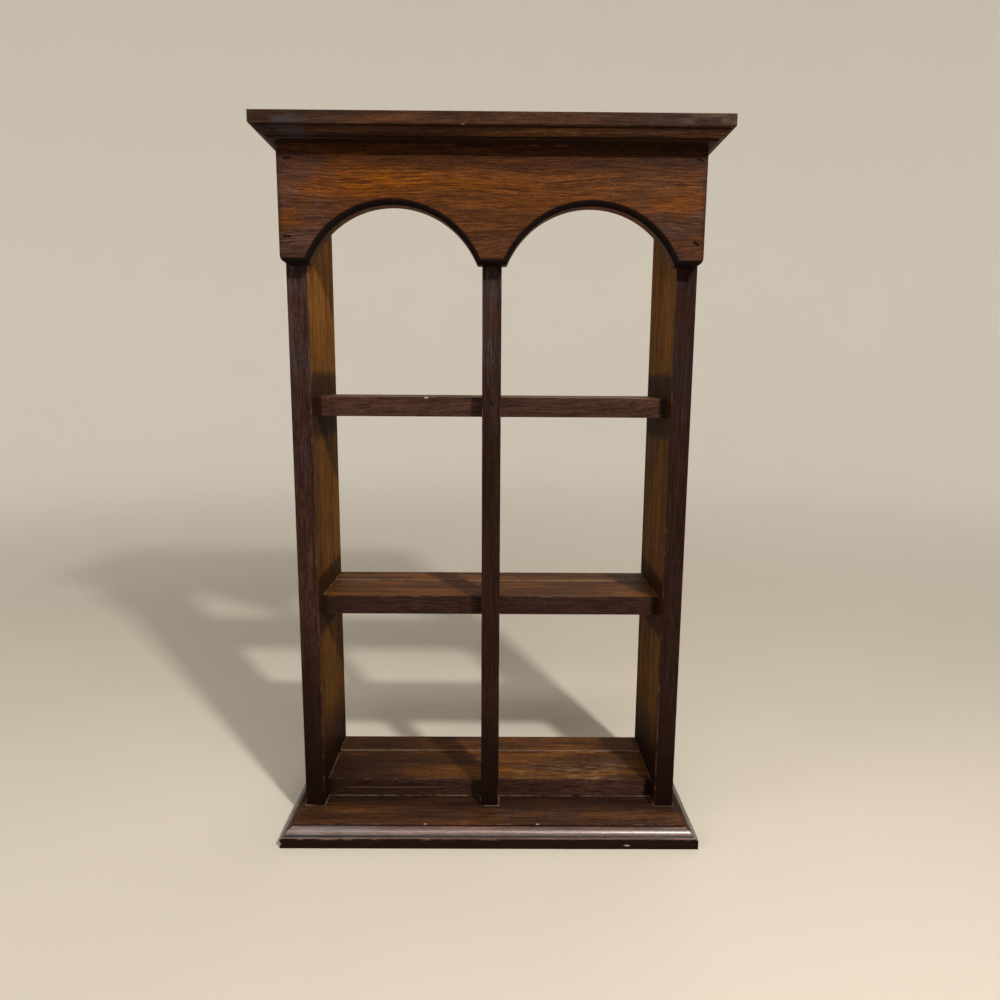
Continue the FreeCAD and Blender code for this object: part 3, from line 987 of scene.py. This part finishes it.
def painted_sheen_wood(node, board):
    """The ovolo and the ledge of the base, lightened as a painted highlight, under glossier lacquer."""
    shader = Shader(node + "_painted_sheen")
    place = shader.place()
    return lacquered(shader, place, grain_place(shader, place, board), node, board, OVOLO_PAINTED_SHEEN)


def bare_wood():
    """Raw wood where a chip has come away."""
    darkest = 0.6
    shader = Shader("bare_wood")
    fibres = shader.pattern(shader.place(), "bare_fibres")
    colour = shader.mix(fibres, BARE_WOOD, tuple(darkest * part for part in BARE_WOOD))
    normal = shader.bump(fibres, 0.1 * MM, 0.5)
    return shader.finish(Base_Color=colour, Roughness=0.8, Normal=normal)


def staple_slit():
    """Near-black colour, with clots, in the slits over the staples."""
    clot_cell = (1.5, 1.5, 1.5)
    shader = Shader("pooled_stain")
    clots = shader.noise(shader.place(), clot_cell, 2.0)
    colour = shader.mix(clots, BLACK_STAIN_AND_SHADE, DRIED_STAIN)
    normal = shader.bump(clots, 0.05 * MM, 0.4)
    return shader.finish(Base_Color=colour, Roughness=0.7, Normal=normal, Specular_IOR_Level=0.15)


def dark_steel():
    """Staple wire, browned by the stain that was wiped over it."""
    clean_roughness = 0.55
    stain_roughness = 0.25
    shader = Shader("browned_steel")
    stain = shader.pattern(shader.place(), "steel_stain")
    colour = shader.mix(stain, STAPLE_STEEL, BLACK_STAIN_AND_SHADE)
    rough = shader.linear(stain, stain_roughness, clean_roughness)
    normal = shader.bump(stain, 0.03 * MM, 0.3)
    return shader.finish(Base_Color=colour, Metallic=0.3, Roughness=rough, Normal=normal,
                         Specular_IOR_Level=0.2)


def zinc_plate(name, dull, bright):
    """Zinc plated steel: faintly cloudy between two tones, with fine rolling marks."""
    cloud_cell = (5, 5, 5)
    cloud_limits = (0.35, 0.65)
    mark_cell = (0.4, 0.4, 12)
    bright_roughness = 0.22
    cloud_roughness = 0.25
    shader = Shader(name)
    place = shader.place()
    cloudy = shader.noise(place, cloud_cell, 3.0)
    marks = shader.noise(place, mark_cell, 2.0)
    colour = shader.mix(shader.band(cloudy, *cloud_limits), dull, bright)
    rough = shader.linear(cloudy, cloud_roughness, bright_roughness)
    normal = shader.bump(marks, 0.02 * MM, 0.4)
    return shader.finish(Base_Color=colour, Metallic=1.0, Roughness=rough, Normal=normal)


def stage_paint():
    """Matt pale paint of the studio, which shows paler towards the far wall than its light makes it."""
    mottle_cell = (400, 400, 400)
    darkest = 0.94
    shader = Shader("stage_paint")
    place = shader.place()
    mottle = shader.noise(place, mottle_cell, 3.0)
    colour = shader.mix(mottle, STAGE_COLOUR, tuple(darkest * part for part in STAGE_COLOUR))
    rays = shader.add("ShaderNodeLightPath").outputs
    seen = shader.most(rays["Is Camera Ray"], rays["Is Glossy Ray"], rays["Is Transmission Ray"])
    from_middle = shader.length(place["X"], place["Y"], place["Z"])
    lift = shader.product(shader.band(from_middle, *STAGE_LIFT_FROM_TO), STAGE_LIFT, seen)
    return shader.finish(Base_Color=colour, Roughness=0.9, Specular_IOR_Level=0.2,
                         Emission_Color=STAGE_COLOUR, Emission_Strength=lift)


def new_object(name, shape):
    """An object from a bmesh, smooth but for its sharp edges."""
    sharp = math.radians(40)
    for face in shape.faces:
        face.smooth = True
    for edge in shape.edges:
        edge.smooth = not edge.is_manifold or edge.calc_face_angle() < sharp
    mesh = bpy.data.meshes.new(name)
    shape.to_mesh(mesh)
    shape.free()
    piece = bpy.data.objects.new(name, mesh)
    bpy.context.scene.collection.objects.link(piece)
    return piece


def eased_shape(node):
    """A copy of a board's mesh with every sharp arris eased."""
    flat = math.radians(0.5)
    sharp = math.radians(35)
    arris = 0.35 * MM
    shape = node_shape(node)
    bmesh.ops.dissolve_limit(shape, angle_limit=flat, verts=shape.verts, edges=shape.edges)
    edges = [edge for edge in shape.edges if edge.is_manifold and edge.calc_face_angle() > sharp]
    bmesh.ops.bevel(shape, geom=edges, offset=arris, offset_type="OFFSET", segments=2, profile=0.5,
                    affect="EDGES", clamp_overlap=True)
    return shape


def staple_tree():
    """All staples as one search tree."""
    shape = bmesh.new()
    for node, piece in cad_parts.items():
        if "staple" in node:
            shape.from_mesh(piece.data)
    tree = BVHTree.FromBMesh(shape)
    shape.free()
    return tree


def mark_slits(piece, staples):
    """Give the small faces close to a staple the piece's second material."""
    reach = 1.1 * MM
    largest_face = 40 * MM * MM
    for face in piece.data.polygons:
        near = staples.find_nearest(face.center, reach)
        if near[0] is not None and face.area < largest_face:
            face.material_index = 1


def mark_painted_sheen(piece, node):
    """Give the base's ledge, and the ovolo along its front, the piece's third material."""
    level = 0.2
    upward = 0.9
    low, high = box_in_mm(node)
    for face in piece.data.polygons:
        x, y, z = face.center / MM
        inset = y - low.y
        height = z - low.z
        along_front = inset < min(high.x - abs(x), BROW_INSET)
        on_ovolo = along_front and LEDGE_HEIGHT < height < OVOLO_TOP
        on_ledge = abs(height - LEDGE_HEIGHT) < level and face.normal.z > upward
        if on_ovolo or on_ledge:
            face.material_index = 2


def chip_shape(chips):
    """Lumps that are cut out of a board to chip it."""
    roughness = 0.35
    lumpiness = 1.7
    shape = bmesh.new()
    for chip in chips:
        lump = bmesh.ops.create_icosphere(shape, subdivisions=3, radius=1.0)
        for vert in lump["verts"]:
            push = 1.0 + roughness * noise.noise(vert.co * lumpiness + Vector(chip.place))
            reach = [push * part * reach * MM for part, reach in zip(vert.co, chip.reach)]
            vert.co = Vector(reach) + Vector(chip.place) * MM
    return shape


def carve(piece, shape, bare):
    """Cut a shape out of a piece, leaving the cut in another material."""
    cutter = new_object("cutter", shape)
    cutter.data.materials.append(bare)
    knife = piece.modifiers.new("cut", "BOOLEAN")
    knife.operation = "DIFFERENCE"
    knife.solver = "EXACT"
    knife.use_self = True
    knife.material_mode = "TRANSFER"
    knife.object = cutter
    bpy.context.view_layer.update()
    cut = piece.evaluated_get(bpy.context.evaluated_depsgraph_get())
    mesh = bpy.data.meshes.new_from_object(cut)
    piece.modifiers.remove(knife)
    piece.data = mesh
    bpy.data.objects.remove(cutter)


def recess_shape(node):
    """Crossed tapered bars at the heads of a pair of screws, for the driver."""
    reach = 1.6
    half_width = 0.375
    depth = 1.4
    taper = 0.45
    low, high = box_in_mm(node)
    head_radius = (high.x - low.x) / 2
    shape = bmesh.new()
    for level in (low.z + head_radius, high.z - head_radius):
        middle = Vector((low.x + head_radius, high.y, level)) * MM
        for half_x, half_z in ((reach, half_width), (half_width, reach)):
            bar = bmesh.ops.create_cube(shape, size=2.0)
            for vert in bar["verts"]:
                narrow = taper if vert.co.y < 0 else 1.0
                offset = Vector((narrow * half_x * vert.co.x, depth * vert.co.y, narrow * half_z * vert.co.z))
                vert.co = middle + offset * MM
    return shape


def paint(piece, *materials):
    """Give a piece these materials and no others."""
    piece.data.materials.clear()
    for material in materials:
        piece.data.materials.append(material)


def settle(piece, node):
    """Let a piece stand for a node, with clean shading."""
    normals = piece.modifiers.new("face_normals", "WEIGHTED_NORMAL")
    normals.weight = 100
    normals.keep_sharp = True
    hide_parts(node)
    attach(piece, "root")


def dress_boards():
    """Every board as an eased copy in place of the plain solid."""
    staples = staple_tree()
    slit = staple_slit()
    bare = bare_wood()
    for node, board in BOARDS.items():
        piece = new_object(node + "_dressed", eased_shape(node))
        paint(piece, stained_and_shaded_wood(node, board), slit)
        mark_slits(piece, staples)
        if node == "base_board":
            piece.data.materials.append(painted_sheen_wood(node, board))
            mark_painted_sheen(piece, node)
        if node in CHIPS:
            carve(piece, chip_shape(CHIPS[node]), bare)
        settle(piece, node)


def dress_metal():
    """Staples and hangers keep their solids, and the screws get a driver's recess."""
    steel = dark_steel()
    plate = zinc_plate("plate_zinc", *PLATE_ZINC)
    screw = zinc_plate("screw_zinc", *SCREW_ZINC)
    for node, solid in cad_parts.items():
        if "staple" in node:
            paint(solid, steel)
        elif "screws" in node:
            piece = new_object(node + "_dressed", node_shape(node))
            paint(piece, screw)
            carve(piece, recess_shape(node), steel)
            settle(piece, node)
        elif "hanger" in node:
            paint(solid, plate)


def make_stage():
    """Floor, cove and wall in one round sweep."""
    cove_steps = 12
    turns = 96
    profile = [Vector((0, 0, 0)), Vector((STAGE_RADIUS - STAGE_COVE, 0, 0))]
    for step in range(1, cove_steps + 1):
        angle = math.pi / 2 * step / cove_steps
        out = STAGE_RADIUS - STAGE_COVE + STAGE_COVE * math.sin(angle)
        profile.append(Vector((out, 0, STAGE_COVE * (1 - math.cos(angle)))))
    profile.append(Vector((STAGE_RADIUS, 0, STAGE_HEIGHT)))
    shape = bmesh.new()
    points = [shape.verts.new(point) for point in profile]
    edges = [shape.edges.new(pair) for pair in zip(points, points[1:])]
    bmesh.ops.spin(shape, geom=points + edges, cent=(0, 0, 0), axis=(0, 0, 1), angle=2 * math.pi, steps=turns,
                   use_merge=True)
    bmesh.ops.remove_doubles(shape, verts=shape.verts, dist=MM)
    stage = new_object("studio", shape)
    paint(stage, stage_paint())


def make_lamp(name, lamp, aim):
    """One rectangular lamp, turned to its aim."""
    data = bpy.data.lights.new(name, "AREA")
    data.shape = "RECTANGLE"
    data.size = lamp.width
    data.size_y = lamp.height
    data.energy = lamp.watts
    data.color = lamp.colour
    light = bpy.data.objects.new(name, data)
    light.location = Vector(lamp.place)
    light.rotation_mode = "QUATERNION"
    light.rotation_quaternion = (Vector(lamp.place) - aim).to_track_quat("Z", "Y")
    bpy.context.scene.collection.objects.link(light)


def make_world():
    """Even air for the light, and a paler sky where the camera sees past the studio's wall."""
    world = bpy.data.worlds.new("studio_air")
    world.use_nodes = True
    tree = world.node_tree
    sky = tree.nodes["Background"]
    sky.inputs["Color"].default_value = (*WORLD_COLOUR, 1.0)
    rays = tree.nodes.new("ShaderNodeLightPath").outputs
    seen = rays["Is Camera Ray"]
    for other in ("Is Glossy Ray", "Is Transmission Ray"):
        either = tree.nodes.new("ShaderNodeMath")
        either.operation = "MAXIMUM"
        tree.links.new(seen, either.inputs[0])
        tree.links.new(rays[other], either.inputs[1])
        seen = either.outputs[0]
    strength = tree.nodes.new("ShaderNodeMapRange")
    strength.inputs["To Min"].default_value = WORLD_STRENGTH
    strength.inputs["To Max"].default_value = SKY_STRENGTH
    tree.links.new(seen, strength.inputs["Value"])
    tree.links.new(strength.outputs["Result"], sky.inputs["Strength"])
    bpy.context.scene.world = world


def make_camera():
    """The camera at its fitted place, turned by its yaw, pitch and roll."""
    forward = Vector((math.sin(CAMERA_YAW) * math.cos(CAMERA_PITCH),
                      math.cos(CAMERA_YAW) * math.cos(CAMERA_PITCH), math.sin(CAMERA_PITCH)))
    right = Vector((math.cos(CAMERA_YAW), -math.sin(CAMERA_YAW), 0))
    up = right.cross(forward)
    axis_x = math.cos(CAMERA_ROLL) * right + math.sin(CAMERA_ROLL) * up
    axis_y = math.cos(CAMERA_ROLL) * up - math.sin(CAMERA_ROLL) * right
    turn = Matrix((axis_x, axis_y, -forward)).transposed()
    data = bpy.data.cameras.new("camera")
    data.sensor_width = SENSOR_WIDTH
    data.lens = FOCAL_PIXELS / IMAGE_PIXELS * SENSOR_WIDTH
    data.clip_start = NEAREST_SEEN
    camera = bpy.data.objects.new("camera", data)
    camera.matrix_world = Matrix.Translation(CAMERA_PLACE) @ turn.to_4x4()
    bpy.context.scene.collection.objects.link(camera)
    bpy.context.scene.camera = camera


dress_boards()
dress_metal()
make_stage()
for lamp_name, lamp_values in LAMPS.items():
    make_lamp(lamp_name, lamp_values, (cad_low + cad_high) / 2)
make_world()
make_camera()
bpy.context.scene.view_settings.view_transform = "Standard"
